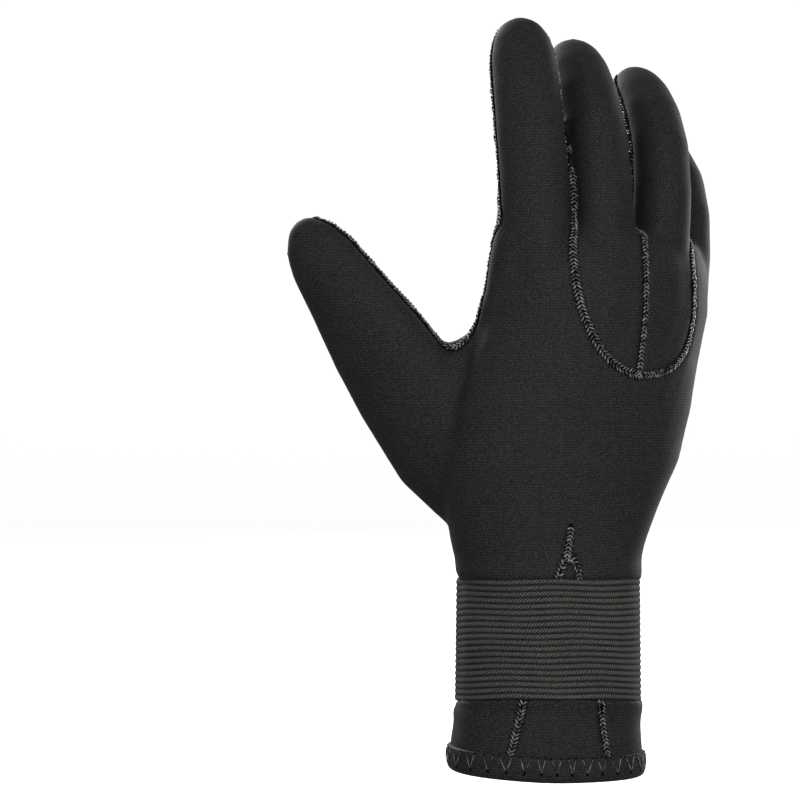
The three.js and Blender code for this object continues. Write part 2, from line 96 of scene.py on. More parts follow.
CUFF_KEPT = 11 * MM  # below this height the skin isn't smoothed
SKIN_START = 8.9 * MM  # the skin starts here, inside the hem
SHORTEST_SEAM = 12 * MM
DOT_FROM_SEAM = 3.2 * MM

# What the operators hand on to each other
shared = {}


class GloveSizes(bpy.types.PropertyGroup):
    """Sizes of the dressed glove"""

    skin_grain: FloatProperty(
        name="Skin mesh",
        description="Edge length of the skin's mesh",
        default=1.2 * MM,
        unit="LENGTH",
    )
    skin_rounds: IntProperty(
        name="Skin smoothing",
        description="How often the skin is smoothed",
        default=14,
    )
    wall: FloatProperty(
        name="Neoprene",
        description="Thickness of the neoprene",
        default=3 * MM,
        unit="LENGTH",
    )
    seam_dip: FloatProperty(
        name="Seam dip",
        description="How deep the skin is drawn in along a seam",
        default=0.7 * MM,
        unit="LENGTH",
    )
    seam_reach: FloatProperty(
        name="Seam reach",
        description="How far from a seam the skin is drawn in",
        default=3.4 * MM,
        unit="LENGTH",
    )
    seam_width: FloatProperty(
        name="Seam width",
        description="Width of the sewn thread band",
        default=2.5 * MM,
        unit="LENGTH",
    )
    stitch_step: FloatProperty(
        name="Stitch step",
        description="Length of seam that one stitch takes",
        default=1.45 * MM,
        unit="LENGTH",
    )
    thread: FloatProperty(
        name="Thread",
        description="Diameter of the sewing thread",
        default=0.85 * MM,
        unit="LENGTH",
    )
    dot_step: FloatProperty(
        name="Dot step",
        description="Distance between grip dots",
        default=5.5 * MM,
        unit="LENGTH",
    )
    dot_width: FloatProperty(
        name="Dot width",
        description="Width of a grip dot",
        default=2.0 * MM,
        unit="LENGTH",
    )
    rib_step: FloatProperty(
        name="Rib step",
        description="Distance between the strap's ribs",
        default=2.2 * MM,
        unit="LENGTH",
    )
    rib_height: FloatProperty(
        name="Rib height",
        description="Height of the strap's ribs",
        default=0.4 * MM,
        unit="LENGTH",
    )
    hem_stitch: FloatProperty(
        name="Hem stitch",
        description="Distance between the hem's V stitches",
        default=6.2 * MM,
        unit="LENGTH",
    )


class GloveColours(bpy.types.PropertyGroup):
    """Colours of the dressed glove, as sRGB hex"""

    jersey: StringProperty(
        name="Jersey",
        description="Colour of the nylon jersey",
        default="#0D0D0F",
    )
    jersey_light: StringProperty(
        name="Jersey light",
        description="Colour of its lit loops",
        default="#353539",
    )
    palm: StringProperty(
        name="Palm",
        description="Colour of the palm's neoprene",
        default="#101011",
    )
    palm_light: StringProperty(
        name="Palm light",
        description="Colour of the palm's lit loops",
        default="#2A2A2D",
    )
    rubber: StringProperty(name="Rubber", description="Colour of the grip dots", default="#0E0E0F")
    thread: StringProperty(
        name="Thread",
        description="Colour of the seam thread",
        default="#4C4C4F",
    )
    strap_thread: StringProperty(
        name="Strap thread",
        description="Colour of its stitches",
        default="#3F3F41",
    )
    shadow: StringProperty(
        name="Needle shadow",
        description="Colour deep in the seams",
        default="#060607",
    )
    elastic: StringProperty(name="Elastic", description="Colour of the strap", default="#3A3A38")
    floor: StringProperty(name="Floor", description="Colour of the floor", default="#F4F4F3")


def sizes():
    """The sizes set on the scene"""
    return bpy.context.scene.glove_sizes


def colours():
    """The colours set on the scene"""
    return bpy.context.scene.glove_colours


def linear(code):
    """An sRGB hex colour as linear red, green, blue and alpha"""
    channels = [int(code[k : k + 2], 16) / 255 for k in (1, 3, 5)]
    return [c / 12.92 if c <= 0.04045 else ((c + 0.055) / 1.055) ** 2.4 for c in channels] + [1.0]


def new_piece(name, bm, material, slot, *nodes):
    """A finished mesh as a piece of the glove that stands for the nodes"""
    mesh = bpy.data.meshes.new(name)
    bm.to_mesh(mesh)
    bm.free()
    mesh.materials.append(material)
    mesh.shade_smooth()
    piece = bpy.data.objects.new(name, mesh)
    bpy.context.scene.collection.objects.link(piece)
    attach(piece, "root")
    if nodes:
        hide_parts(*nodes)
    return piece


def node_mesh(name):
    """A merged copy of a CAD node's mesh"""
    bm = bmesh.new()
    bm.from_mesh(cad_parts[name].data)
    bmesh.ops.remove_doubles(bm, verts=bm.verts[:], dist=0.002 * MM)
    return bm


def add_node(tree, kind, settings=None, **links):
    """Adds a shader node. Inputs are values or (node, output), named with _ for a space, or i0,
    i1 and so on for their number."""
    node = tree.nodes.new("ShaderNode" + kind)
    for key, value in (settings or {}).items():
        setattr(node, key, value)
    for key, value in links.items():
        by_number = key[0] == "i" and key[1:].isdigit()
        socket = node.inputs[int(key[1:]) if by_number else key.replace("_", " ")]
        if isinstance(value, tuple) and len(value) == 2 and isinstance(value[0], bpy.types.Node):
            tree.links.new(value[0].outputs[value[1]], socket)
        else:
            socket.default_value = value
    return node


def start_material(name):
    """A material with an empty node tree, and that tree"""
    material = bpy.data.materials.new(name)
    material.use_nodes = True
    material.node_tree.nodes.clear()
    return material, material.node_tree


def jersey_material(name, dark, light, knit_mm=0.72):
    """Nylon jersey laminated on neoprene foam: matt, near black, with a fine knit that catches the
    light as pale specks, and a faint bloom at grazing angles. The real loops are about 0.45 mm
    apart, and are drawn a little coarser so that they show. Where the stored shelter is high, in
    the valleys between the fingers, the colour is darkened to match the photograph's shade."""
    material, tree = start_material(name)
    place = add_node(tree, "TexCoord")
    knit = 1 / (knit_mm * MM)
    loops = add_node(
        tree, "TexVoronoi", {"feature": "F1"}, Vector=(place, "Object"), Scale=knit, Randomness=0.35
    )
    courses = add_node(
        tree,
        "TexWave",
        {"wave_type": "BANDS", "bands_direction": "Z", "wave_profile": "SIN"},
        Vector=(place, "Object"),
        Scale=0.314 * knit / 1.4,
        Distortion=1.2,
        Detail=2.0,
        Detail_Scale=1.5,
    )
    patches = add_node(tree, "TexNoise", Vector=(place, "Object"), Scale=38.0, Detail=4.0, Roughness=0.6)
    specks = add_node(
        tree, "TexNoise", Vector=(place, "Object"), Scale=knit * 1.7, Detail=1.0, Roughness=0.6
    )
    lit = add_node(
        tree, "Math", {"operation": "MULTIPLY_ADD"}, i0=(courses, "Fac"), i1=0.1, i2=(specks, "Fac")
    )
    shade = add_node(tree, "MapRange", Value=(lit, "Value"), i1=0.47, i2=0.74, i3=0.0, i4=1.0)
    wear = add_node(tree, "MapRange", Value=(patches, "Fac"), i1=0.35, i2=0.7, i3=0.0, i4=0.14)
    both = add_node(
        tree, "Math", {"operation": "ADD", "use_clamp": True}, i0=(shade, "Result"), i1=(wear, "Result")
    )
    knitted = add_node(tree, "MixRGB", Fac=(both, "Value"), Color1=linear(dark), Color2=linear(light))
    closeness = add_node(tree, "Attribute", {"attribute_name": "shelter"})
    valley = add_node(tree, "MapRange", Value=(closeness, "Fac"), i1=0.05, i2=0.6, i3=1.0, i4=0.25)
    colour = add_node(
        tree, "VectorMath", {"operation": "SCALE"}, i0=(knitted, "Color"), Scale=(valley, "Result")
    )
    height = add_node(
        tree, "Math", {"operation": "MULTIPLY_ADD"}, i0=(courses, "Fac"), i1=0.32, i2=(loops, "Distance")
    )
    bump = add_node(tree, "Bump", Strength=0.55, Distance=0.12 * MM, Height=(height, "Value"))
    rough = add_node(tree, "MapRange", Value=(patches, "Fac"), i1=0.3, i2=0.7, i3=0.66, i4=0.8)
    shader = add_node(
        tree,
        "BsdfPrincipled",
        Base_Color=(colour, "Vector"),
        Roughness=(rough, "Result"),
        IOR=1.5,
        Specular_IOR_Level=0.22,
        Sheen_Weight=0.03,
        Sheen_Roughness=0.4,
        Normal=(bump, "Normal"),
    )
    add_node(tree, "OutputMaterial", Surface=(shader, "BSDF"))
    return material


def thread_material(name, tone, shine=0.34):
    """Bonded nylon sewing thread: smooth twisted filaments, with small bright glints painted into its
    colour in random specks
    """
    material, tree = start_material(name)
    place = add_node(tree, "TexCoord")
    twist = add_node(
        tree,
        "TexWave",
        {"wave_type": "BANDS", "bands_direction": "DIAGONAL"},
        Vector=(place, "Object"),
        Scale=1 / (0.35 * MM) / 6.28,  # bands about 0.8 mm apart
        Distortion=0.6,
    )
    glint_noise = add_node(tree, "TexNoise", Vector=(place, "Object"), Scale=520.0, Detail=2.0)
    # Painted glints: the thread's colour is scaled up to 3.4 times where the noise is high
    bright = add_node(tree, "MapRange", Value=(glint_noise, "Fac"), i1=0.4, i2=0.66, i3=0.2, i4=3.4)
    base = add_node(tree, "RGB")
    base.outputs[0].default_value = linear(tone)
    colour = add_node(
        tree, "VectorMath", {"operation": "SCALE"}, i0=(base, "Color"), Scale=(bright, "Result")
    )
    bump = add_node(tree, "Bump", Strength=0.5, Distance=0.08 * MM, Height=(twist, "Fac"))
    shader = add_node(
        tree,
        "BsdfPrincipled",
        Base_Color=(colour, "Vector"),
        Roughness=shine,
        IOR=1.53,
        Normal=(bump, "Normal"),
    )
    add_node(tree, "OutputMaterial", Surface=(shader, "BSDF"))
    return material


def shade_sheet_material(name, tone):
    """A near-black matt sheet deep in a seam and at its needle holes, as painted shade: no shine, so that
    the stitches stand out of it
    """
    material, tree = start_material(name)
    place = add_node(tree, "TexCoord")
    fuzz = add_node(tree, "TexNoise", Vector=(place, "Object"), Scale=1500.0, Detail=2.0)
    bump = add_node(tree, "Bump", Strength=0.6, Distance=0.1 * MM, Height=(fuzz, "Fac"))
    shader = add_node(
        tree, "BsdfPrincipled", Base_Color=linear(tone), Roughness=0.9, Specular_IOR_Level=0.1,
        Normal=(bump, "Normal"),
    )
    add_node(tree, "OutputMaterial", Surface=(shader, "BSDF"))
    return material


def rubber_material(name, tone):
    """Screen printed rubber, cured glossy, so that each dot carries a small white highlight"""
    material, tree = start_material(name)
    place = add_node(tree, "TexCoord")
    dust = add_node(tree, "TexNoise", Vector=(place, "Object"), Scale=900.0, Detail=3.0)
    rough = add_node(tree, "MapRange", Value=(dust, "Fac"), i1=0.3, i2=0.7, i3=0.14, i4=0.26)
    shader = add_node(
        tree,
        "BsdfPrincipled",
        Base_Color=linear(tone),
        Roughness=(rough, "Result"),
        IOR=1.52,
        Coat_Weight=0.7,
    )
    add_node(tree, "OutputMaterial", Surface=(shader, "BSDF"))
    return material


def elastic_material(name, tone):
    """Woven elastic webbing: dull olive charcoal yarn that lies slantwise over each rubber rib. The yarns
    are about 0.5 mm thick, and are drawn 0.74 mm apart so that they show. The grooves between the ribs
    are painted darker as painted shade, the crests a little lighter, and the tone also varies at random
    in patches."""
    material, tree = start_material(name)
    place = add_node(tree, "UVMap", {"uv_map": "along"})
    turn = add_node(tree, "Mapping", Vector=(place, "UV"), Rotation=(0, 0, math.radians(35)))
    yarn = add_node(
        tree,
        "TexWave",
        {"wave_type": "BANDS", "bands_direction": "X", "wave_profile": "SIN"},
        Vector=(turn, "Vector"),
        Scale=0.314 / (0.74 * MM),
        Distortion=3.0,
        Detail=1.5,
        Detail_Scale=2.0,
    )
    fuzz = add_node(tree, "TexNoise", Vector=(place, "UV"), Scale=1400.0, Detail=3.0, Roughness=0.7)
    patches = add_node(tree, "TexNoise", Vector=(place, "UV"), Scale=60.0, Detail=3.0)
    lift = add_node(tree, "Math", {"operation": "MULTIPLY"}, i0=(yarn, "Fac"), i1=(fuzz, "Fac"))
    bright = add_node(tree, "MapRange", Value=(lift, "Value"), i1=0.05, i2=0.55, i3=0.35, i4=2.7)
    tone_wear = add_node(tree, "MapRange", Value=(patches, "Fac"), i1=0.3, i2=0.7, i3=0.85, i4=1.15)
    # Painted shade: from the rib's crest height the colour falls to 12% in the grooves and rises a little
    # on the crests
    rib = add_node(tree, "Attribute", {"attribute_name": "rib"})
    groove_shade = add_node(tree, "MapRange", Value=(rib, "Fac"), i1=0.3, i2=0.9, i3=0.12, i4=1.25)
    shade_and_wear = add_node(
        tree, "Math", {"operation": "MULTIPLY"}, i0=(groove_shade, "Result"), i1=(tone_wear, "Result")
    )
    both = add_node(tree, "Math", {"operation": "MULTIPLY"}, i0=(bright, "Result"), i1=(shade_and_wear, "Value"))
    base = add_node(tree, "RGB")
    base.outputs[0].default_value = linear(tone)
    colour = add_node(
        tree, "VectorMath", {"operation": "SCALE"}, i0=(base, "Color"), Scale=(both, "Value")
    )
    bump = add_node(tree, "Bump", Strength=0.8, Distance=0.2 * MM, Height=(lift, "Value"))
    shader = add_node(
        tree,
        "BsdfPrincipled",
        Base_Color=(colour, "Vector"),
        Roughness=0.82,
        IOR=1.5,
        Specular_IOR_Level=0.2,
        Normal=(bump, "Normal"),
    )
    add_node(tree, "OutputMaterial", Surface=(shader, "BSDF"))
    return material


def floor_material(name, tone):
    """Matt white studio board, lit through so that it stays white towards the wall"""
    material, tree = start_material(name)
    shader = add_node(
        tree, "BsdfPrincipled", Base_Color=linear(tone), Roughness=0.9,
        Emission_Color=linear(tone), Emission_Strength=0.8,
    )
    add_node(tree, "OutputMaterial", Surface=(shader, "BSDF"))
    return material


# The skin

def sewn_skin():
    """One closed skin round all the panels, smoothed so that the facets go"""
    bm = bmesh.new()
    for node, _, _ in PANELS:
        bm.from_mesh(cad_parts[node].data)
    bmesh.ops.remove_doubles(bm, verts=bm.verts[:], dist=0.002 * MM)
    mesh = bpy.data.meshes.new("skin_form")
    bm.to_mesh(mesh)
    bm.free()
    form = bpy.data.objects.new("skin_form", mesh)
    bpy.context.scene.collection.objects.link(form)
    remesh = form.modifiers.new("voxels", "REMESH")
    remesh.mode = "VOXEL"
    remesh.voxel_size = sizes().skin_grain
    graph = bpy.context.evaluated_depsgraph_get()
    made = bpy.data.meshes.new_from_object(form.evaluated_get(graph))
    bpy.data.objects.remove(form)
    skin = bmesh.new()
    skin.from_mesh(made)
    bpy.data.meshes.remove(made)
    bpy.data.meshes.remove(mesh)
    return skin


def outer_sheet(skin, low):
    """Keeps what lies above low and hangs together with the highest point"""
    everything = skin.verts[:] + skin.edges[:] + skin.faces[:]
    bmesh.ops.bisect_plane(
        skin, geom=everything, dist=1e-7, plane_co=(0, 0, low), plane_no=(0, 0, 1), clear_inner=True
    )
    top = max(skin.verts, key=lambda v: v.co.z)
    reached = {top}
    edge = [top]
    while edge:
        vert = edge.pop()
        for link in vert.link_edges:
            other = link.other_vert(vert)
            if other not in reached:
                reached.add(other)
                edge.append(other)
    bmesh.ops.delete(skin, geom=[v for v in skin.verts if v not in reached], context="VERTS")


def panel_of_faces(skin):
    """Marks each face with the panel that lies nearest to it"""
    verts, faces, owner = [], [], []
    for number, (node, _, _) in enumerate(PANELS):
        bm = node_mesh(node)
        start = len(verts)
        verts.extend(v.co.copy() for v in bm.verts)
        for face in bm.faces:
            faces.append([start + v.index for v in face.verts])
            owner.append(number)
        bm.free()
    tree = BVHTree.FromPolygons(verts, faces)
    mark = skin.faces.layers.int.new("panel")
    for face in skin.faces:
        face[mark] = owner[tree.find_nearest(face.calc_center_median())[2]]
    # Lone faces take the panel of their neighbours, so that the seams run clean
    for _ in range(6):
        change = []
        for face in skin.faces:
            near = [other[mark] for e in face.edges for other in e.link_faces if other is not face]
            if near.count(face[mark]) <= 1 and near:
                change.append((face, max(set(near), key=near.count)))
        for face, number in change:
            face[mark] = number
    return mark


def seam_chains(skin, mark):
    """The lines along which two panels meet, each as its two panels and its points"""
    seams = {}
    for edge in skin.edges:
        if len(edge.link_faces) == 2:
            a, b = sorted(face[mark] for face in edge.link_faces)
            if a != b:
                seams.setdefault((a, b), []).append(edge)
    chains = []
    for pair, edges in seams.items():
        links = {}
        for edge in edges:
            for vert in edge.verts:
                links.setdefault(vert, []).append(edge)
        used = set()
        ends = [v for v, e in links.items() if len(e) != 2]
        for start in ends + list(links):
            for first in links[start]:
                if first in used:
                    continue
                line, vert, edge = [start.co.copy()], start, first
                while edge is not None and edge not in used:
                    used.add(edge)
                    vert = edge.other_vert(vert)
                    line.append(vert.co.copy())
                    onward = [e for e in links[vert] if e not in used]
                    edge = onward[0] if len(links[vert]) == 2 and onward else None
                chains.append((pair, line))
    return chains


def eased(line, rounds):
    """A line smoothed along its length, with its ends kept, or as a ring where it closes"""
    ring = (line[0] - line[-1]).length < 1e-6
    points = [p.copy() for p in line]
    count = len(points)
    for _ in range(rounds):
        if ring:
            body = points[:-1]
            body = [
                (body[k - 1] + 2 * body[k] + body[(k + 1) % (count - 1)]) / 4 for k in range(count - 1)
            ]
            points = body + [body[0].copy()]
        else:
            points = (
                [points[0]]
                + [(points[k - 1] + 2 * points[k] + points[k + 1]) / 4 for k in range(1, count - 1)]
                + [points[-1]]
            )
    return points


def paced(line, step):
    """Points at an even step along a line"""
    total = sum((b - a).length for a, b in zip(line, line[1:]))
    count = max(2, round(total / step))
    pace = total / count
    made, walked, wanted = [line[0].copy()], 0.0, pace
    for a, b in zip(line, line[1:]):
        span = (b - a).length
        while walked + span >= wanted - 1e-9 and len(made) <= count and span > 0:
            made.append(a.lerp(b, (wanted - walked) / span))
            wanted += pace
        walked += span
    return made


def seen_at(tree, across, down):
    """Where the camera's line through a pixel of the image meets the skin"""
    camera = bpy.context.scene.camera
    away = camera.data.lens / camera.data.sensor_width
    half = IMAGE_SIZE / 2
    ray = Vector(((across - half) / IMAGE_SIZE, (half - down) / IMAGE_SIZE, -away))
    return tree.ray_cast(camera.location, camera.rotation_euler.to_matrix() @ ray.normalized())[0]


def dart_tail(tree):
    """The short seam that runs on from the dart's point towards the hand"""
    low, high = Vector((566.5, 560)), Vector((571, 529))
    line = [seen_at(tree, *low.lerp(high, k / 12)) for k in range(13)]
    return paced(line, 0.5 * MM)


def shelter(tree, spot, normal):
    """Share of eight slanting directions out of a spot that the glove itself blocks within 16 mm"""
    side = normal.orthogonal().normalized()
    over = normal.cross(side)
    start = spot + normal * 0.5 * MM
    hits = 0
    for number in range(8):
        turn = math.pi * number / 4
        # About 56 degrees away from the normal
        aim = normal * 0.55 + (side * math.cos(turn) + over * math.sin(turn)) * 0.83
        if tree.ray_cast(start, aim, 16 * MM)[0] is not None:
            hits += 1
    return hits / 8


def mark_shelter(skin, tree):
    """Stores how sheltered each point of the skin is, blurred so that it shows no steps"""
    skin.verts.index_update()
    found = [shelter(tree, v.co, v.normal) for v in skin.verts]
    for _ in range(3):
        blurred = []
        for vert in skin.verts:
            around = [found[e.other_vert(vert).index] for e in vert.link_edges]
            blurred.append((found[vert.index] + sum(around)) / (1 + len(around)))
        found = blurred
    layer = skin.verts.layers.float.new("shelter")
    for vert, value in zip(skin.verts, found):
        vert[layer] = value


def strap_rise(place, share):
    """How far the strap is moved up at a place, at a share of its height, to follow the photograph"""
    return max(0.0, -place.y / WRIST_DEEP) * (STRAP_RISE - STRAP_RISE_LOSS * share) * MM


def hem_rise(place):
    """How much higher the hem is at a place than on the little finger's side and the palm"""
    thumb = max(0.0, -place.x / HEM_WIDE) * HEM_RISE_THUMB
    back = max(0.0, -place.y / HEM_DEEP) * HEM_RISE_BACK
    return (thumb + back) * MM


def eased_edge(distance):
    """1 at the strap's edge, falling to 0 away from it and 0.8 mm behind it"""
    if distance < -0.8 * MM:
        return 0.0
    return math.exp(-((max(0.0, distance) / (5 * MM)) ** 2)) * min(1.0, distance / (0.8 * MM) + 1)


class GLOVE_OT_panels(bpy.types.Operator):
    """Lays the neoprene skin over the panels and cuts it along the seams"""

    bl_idname = "glove.panels"
    bl_label = "Neoprene panels"

    def execute(self, context):
        size = sizes()
        skin = sewn_skin()
        for _ in range(size.skin_rounds):
            soft = [v for v in skin.verts if v.co.z > CUFF_KEPT]
            bmesh.ops.smooth_vert(
                skin, verts=soft, factor=0.5, use_axis_x=True, use_axis_y=True, use_axis_z=True
            )
        # The cuff swells just above and just below the strap, as soft cloth does beside a band
        strap = node_mesh("elastic_strap")
        low, high = min(v.co.z for v in strap.verts), max(v.co.z for v in strap.verts)
        strap.free()
        for vert in skin.verts:
            above = vert.co.z - high - strap_rise(vert.co, 1)
            below = low + strap_rise(vert.co, 0) - vert.co.z
            swell = SWELL_ABOVE * eased_edge(above) + SWELL_BELOW * eased_edge(below)
            if swell:
                outward = Vector((vert.co.x, vert.co.y, 0)).normalized()
                vert.co += outward * swell * (SWELL_ALL + SWELL_SIDES * abs(outward.x)) * MM
        outer_sheet(skin, SKIN_START)
        mark = panel_of_faces(skin)
        tree = BVHTree.FromBMesh(skin)
        lines = []
        for pair, line in seam_chains(skin, mark):
            length = sum((b - a).length for a, b in zip(line, line[1:]))
            if length < SHORTEST_SEAM:
                continue
            rounds = 5 if DART in pair else 14
            smooth = paced(eased(paced(eased(line, 8), 1.5 * MM), rounds), 0.5 * MM)
            lines.append((pair, [tree.find_nearest(p)[0] for p in smooth]))
        lines.append(((BACK, DART), dart_tail(tree)))
        spots = [p for _, line in lines for p in line]
        near = kdtree.KDTree(len(spots))
        for number, spot in enumerate(spots):
            near.insert(spot, number)
        near.balance()
        skin.normal_update()
        shifts = []
        for vert in skin.verts:
            away = near.find(vert.co)[2] / size.seam_reach
            if away < 1:
                shifts.append((vert, vert.normal * -size.seam_dip * (1 - away * away) ** 2))
        for vert, shift in shifts:
            vert.co += shift
        shared["seams"] = lines
        shared["near_seam"] = near
        shared["skin"] = BVHTree.FromBMesh(skin)
        skin.normal_update()
        mark_shelter(skin, shared["skin"])
        shared["skin_panels"] = [face[mark] for face in skin.faces]
        tones = colours()
        jersey = jersey_material("Nylon jersey on neoprene, knitted", tones.jersey, tones.jersey_light)
        palm = jersey_material("Palm neoprene, knitted", tones.palm, tones.palm_light, knit_mm=0.8)
        for number, (node, name, slot) in enumerate(PANELS):
            part = skin.copy()
            key = part.faces.layers.int["panel"]
            other = [face for face in part.faces if face[key] != number]
            bmesh.ops.delete(part, geom=other, context="FACES")
            piece = new_piece(name, part, palm if number == PALM else jersey, slot, node)
            solid = piece.modifiers.new("neoprene", "SOLIDIFY")
            solid.thickness = size.wall
            solid.offset = -1
            solid.use_rim = True
        skin.free()
        return {"FINISHED"}


def along_skin(line, number, tree):
    """Tangent, skin normal and sideways direction at a point of a line"""
    before = line[max(0, number - 2)]
    after = line[min(len(line) - 1, number + 2)]
    tangent = (after - before).normalized()
    normal = tree.find_nearest(line[number])[1]
    sideways = tangent.cross(normal).normalized()
    return tangent, sideways.cross(tangent).normalized(), sideways


def grain(around, along):
    """A round grain of unit radius with its poles on X, to be repeated as a stitch or a dot"""
    bm = bmesh.new()
    bmesh.ops.create_uvsphere(
        bm, u_segments=around, v_segments=along, radius=1.0, matrix=Matrix.Rotation(math.pi / 2, 4, "Y")
    )
    mesh = bpy.data.meshes.new("grain")
    bm.to_mesh(mesh)
    bm.free()
    return mesh


def lay(bm, form, middle, direction, normal, length, width, height):
    """Adds a grain along direction, lying on a surface with the normal"""
    direction = direction.normalized()
    side = normal.cross(direction).normalized()
    up = direction.cross(side).normalized()
    turn = Matrix((direction, side, up)).transposed().to_4x4()
    grow = Matrix.Diagonal((length / 2, width / 2, height / 2, 1))
    mesh = form.copy()
    mesh.transform(Matrix.Translation(middle) @ turn @ grow)
    bm.from_mesh(mesh)
    bpy.data.meshes.remove(mesh)


class GLOVE_OT_seams(bpy.types.Operator):
    """Sews the thread bands along the seams"""

    bl_idname = "glove.seams"
    bl_label = "Seam threads"

    def execute(self, context):
        size = sizes()
        tree = shared["skin"]
        chance = random.Random(7)
        bm = bmesh.new()
        bed = bmesh.new()
        form = grain(6, 4)
        for pair, line in shared["seams"]:
            steps = paced(line, size.stitch_step)
            half = size.seam_width / 2 * (1.25 if pair == (BACK, MIDDLE) else 1)
            for number, spot in enumerate(steps):
                tangent, normal, sideways = along_skin(steps, number, tree)
                # A near-black sheet under the stitches: painted shade in the gaps between them, deep in
                # the seam
                low = spot - normal * 0.25 * MM
                lay(bed, form, low, tangent, normal, size.stitch_step * 3, half * 1.9, 0.9 * MM)
                # Two stitches lean together like the strands of a braid, and sink into the bed
                # where two fingers lie close
                sink = 0.45 if shelter(tree, spot, normal) > 0.45 else 0.0
                for side in (-1, 1):
                    forward = tangent * size.stitch_step * chance.uniform(0.75, 1.35)
                    direction = forward - sideways * side * half * chance.uniform(0.9, 1.25)
                    middle = spot + sideways * side * half * chance.uniform(0.45, 0.6)
                    lift = normal * (0.15 - sink + chance.uniform(-0.16, 0.16)) * MM
                    width = size.thread * chance.uniform(0.65, 1.1)
                    lay(bm, form, middle + lift, direction, normal, direction.length * 1.05, width, width)
                # The needle has drawn a hole into the jersey on both sides, shown as a flat near-black
                # patch: painted shade in the hole
                if number % 2:
                    for side in (-1, 1):
                        aside = spot + sideways * side * (half + 0.55 * MM)
                        hole, out = tree.find_nearest(aside)[:2]
                        lay(bed, form, hole, tangent, out, 0.75 * MM, 0.6 * MM, 0.2 * MM)
        thread = thread_material("Seam thread, bonded nylon", colours().thread)
        new_piece("seam_threads", bm, thread, "neoprene")
        # The seam beds and needle holes are near-black sheets of painted shade
        shadow = shade_sheet_material("Needle shadow, painted in the seams", colours().shadow)
        new_piece("seam_shade_beds", bed, shadow, "neoprene")
        return {"FINISHED"}


# Digits for the grip dots: where each one's centre line starts and ends, and how it bends.
# The lines are those of the CAD model's digits, in millimetres and degrees.
DIGITS = (
    # start, length, heading, splay, flex, curl, half width of the dotted face: index to little finger
    ((-2.8, -3.9, 175), 110.3, 3, -3, 4, 22, 9.6),
    ((19.7, 2.3, 175), 115.8, 13, 1.5, 8, 40, 9.4),
    ((39.7, 16.6, 175), 110.1, 21, 10, 8, 44, 9.0),
    ((52.8, 35.7, 175), 94.7, 28, 14, 14, 50, 7.4),
)
LINE_STEPS = 160  # of a finger's centre line

# The thumb's dots lie in a grid that leans with it from its root
THUMB_ROOT = Vector((-21.5, 3, 97)) * MM
THUMB_LEAN = math.radians(33.5)
THUMB_PALMWARD = 0.05  # how far it also points to the palm side

# The palm's dots lie in a level grid: its lowest row, its top, and its step beside the digits' one
PALM_FOOT, PALM_TOP = 82 * MM, 0.2
PALM_SPREAD = 1.12


def smooth_share(value, low, high):
    """0 below low and 1 above high, eased between them"""
    share = min(1, max(0, (value - low) / (high - low)))
    return share * share * (3 - 2 * share)


def digit_line(start, length, heading, splay, flex, curl):
    """Points down a finger's centre line, with its breadth and its palm direction"""
    side = Vector((math.cos(math.radians(heading)), math.sin(math.radians(heading)), 0))
    palmward = Vector((-side.y, side.x, 0))
    ahead = Vector((0, 0, math.cos(math.radians(splay)))) + side * math.sin(math.radians(splay))
    point = Vector(start) * MM
    line = []
    for number in range(LINE_STEPS + 1):
        bend = math.radians(flex + curl * smooth_share(number / LINE_STEPS, 0.15, 0.9))
        along = ahead * math.cos(bend) + palmward * math.sin(bend)
        palm = (palmward - along * palmward.dot(along)).normalized()
        line.append((point.copy(), palm, palm.cross(along).normalized()))
        point += along * length * MM / LINE_STEPS
    return line


class GLOVE_OT_dots(bpy.types.Operator):
    """Prints the rubber grip dots on the palm side"""

    bl_idname = "glove.dots"
    bl_label = "Grip dots"

    def execute(self, context):
        size = sizes()
        tree = shared["skin"]
        panels = shared["skin_panels"]
        near = shared["near_seam"]
        laid = []

        def try_dot(source, direction, reach):
            """Lays a dot where the ray meets the palm squarely, clear of seams and other dots"""
            spot, normal, face, _ = tree.ray_cast(source, direction, reach)
            if spot is None or panels[face] != PALM or near.find(spot)[2] < DOT_FROM_SEAM:
                return
            if normal.dot(-direction) < 0.3:
                return
            if all((spot - other).length > size.dot_step * 0.72 for other, _ in laid):
                laid.append((spot, normal))

        step = size.dot_step
        for start, length, heading, splay, flex, curl, half in DIGITS:
            line = digit_line(start, length, heading, splay, flex, curl)
            rows = int(length * MM / step)
            columns = int(half * MM / step * 2) + 1
            # The first rows are left to the palm's own grid
            for row in range(int(rows * 0.28), rows + 1):
                place = round(row * step / (length * MM) * LINE_STEPS)
                point, palm, broad = line[min(LINE_STEPS, place)]
                for column in range(columns):
                    aside = (column - (columns - 1) / 2) * step
                    try_dot(point + broad * aside + palm * 22 * MM, -palm, 0.022)
        thumb_along = Vector((-math.sin(THUMB_LEAN), THUMB_PALMWARD, math.cos(THUMB_LEAN))).normalized()
        thumb_side = Vector((0, 1, 0)).cross(thumb_along).normalized()
        for row in range(5, 24):
            for column in range(-3, 4):
                point = THUMB_ROOT + thumb_along * row * step + thumb_side * column * step
                try_dot(point + Vector((0, 0.05, 0)), Vector((0, -1, 0)), 0.05)
        palm_step = step * PALM_SPREAD
        for row in range(24):
            for column in range(-9, 14):
                source = Vector((column * palm_step, 0.12, PALM_FOOT + row * palm_step))
                if source.z < PALM_TOP:
                    try_dot(source, Vector((0, -1, 0)), 0.14)
        bm = bmesh.new()
        form = grain(10, 6)
        wide = size.dot_width
        for spot, normal in laid:
            lay(bm, form, spot, normal, normal.orthogonal(), wide * 0.68, wide, wide)
        print("grip dots:", len(laid))
        rubber = rubber_material("Grip rubber, screen printed", colours().rubber)
        new_piece("grip_dots", bm, rubber, "grip_neoprene")
        return {"FINISHED"}


